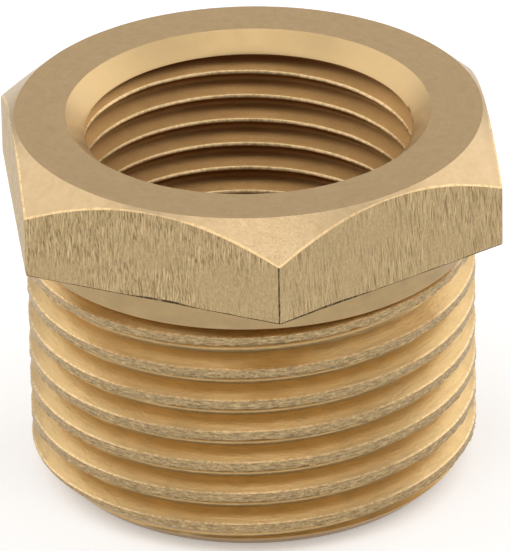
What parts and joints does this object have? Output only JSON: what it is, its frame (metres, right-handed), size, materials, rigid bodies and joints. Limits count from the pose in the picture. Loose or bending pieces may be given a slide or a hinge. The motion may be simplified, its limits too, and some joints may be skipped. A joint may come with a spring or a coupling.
{
  "type": "hex reducing bushing",
  "caption": "Brass hex bushing: a male pipe thread under a hexagonal head, reduced to a smaller female pipe thread through its middle.",
  "frame": {"origin": "centre of the male end face, which the bushing stands on", "axes": "+Z along the threads' axis, from the male end up to the hexagonal head; two of the flats face +Y and -Y"},
  "size_m": [0.0404, 0.035, 0.0284],
  "materials": {
    "brass": "machined, unpolished"
  },
  "bodies": {
    "root": {"hex_bushing": "brass"}
  },
  "joints": []
}
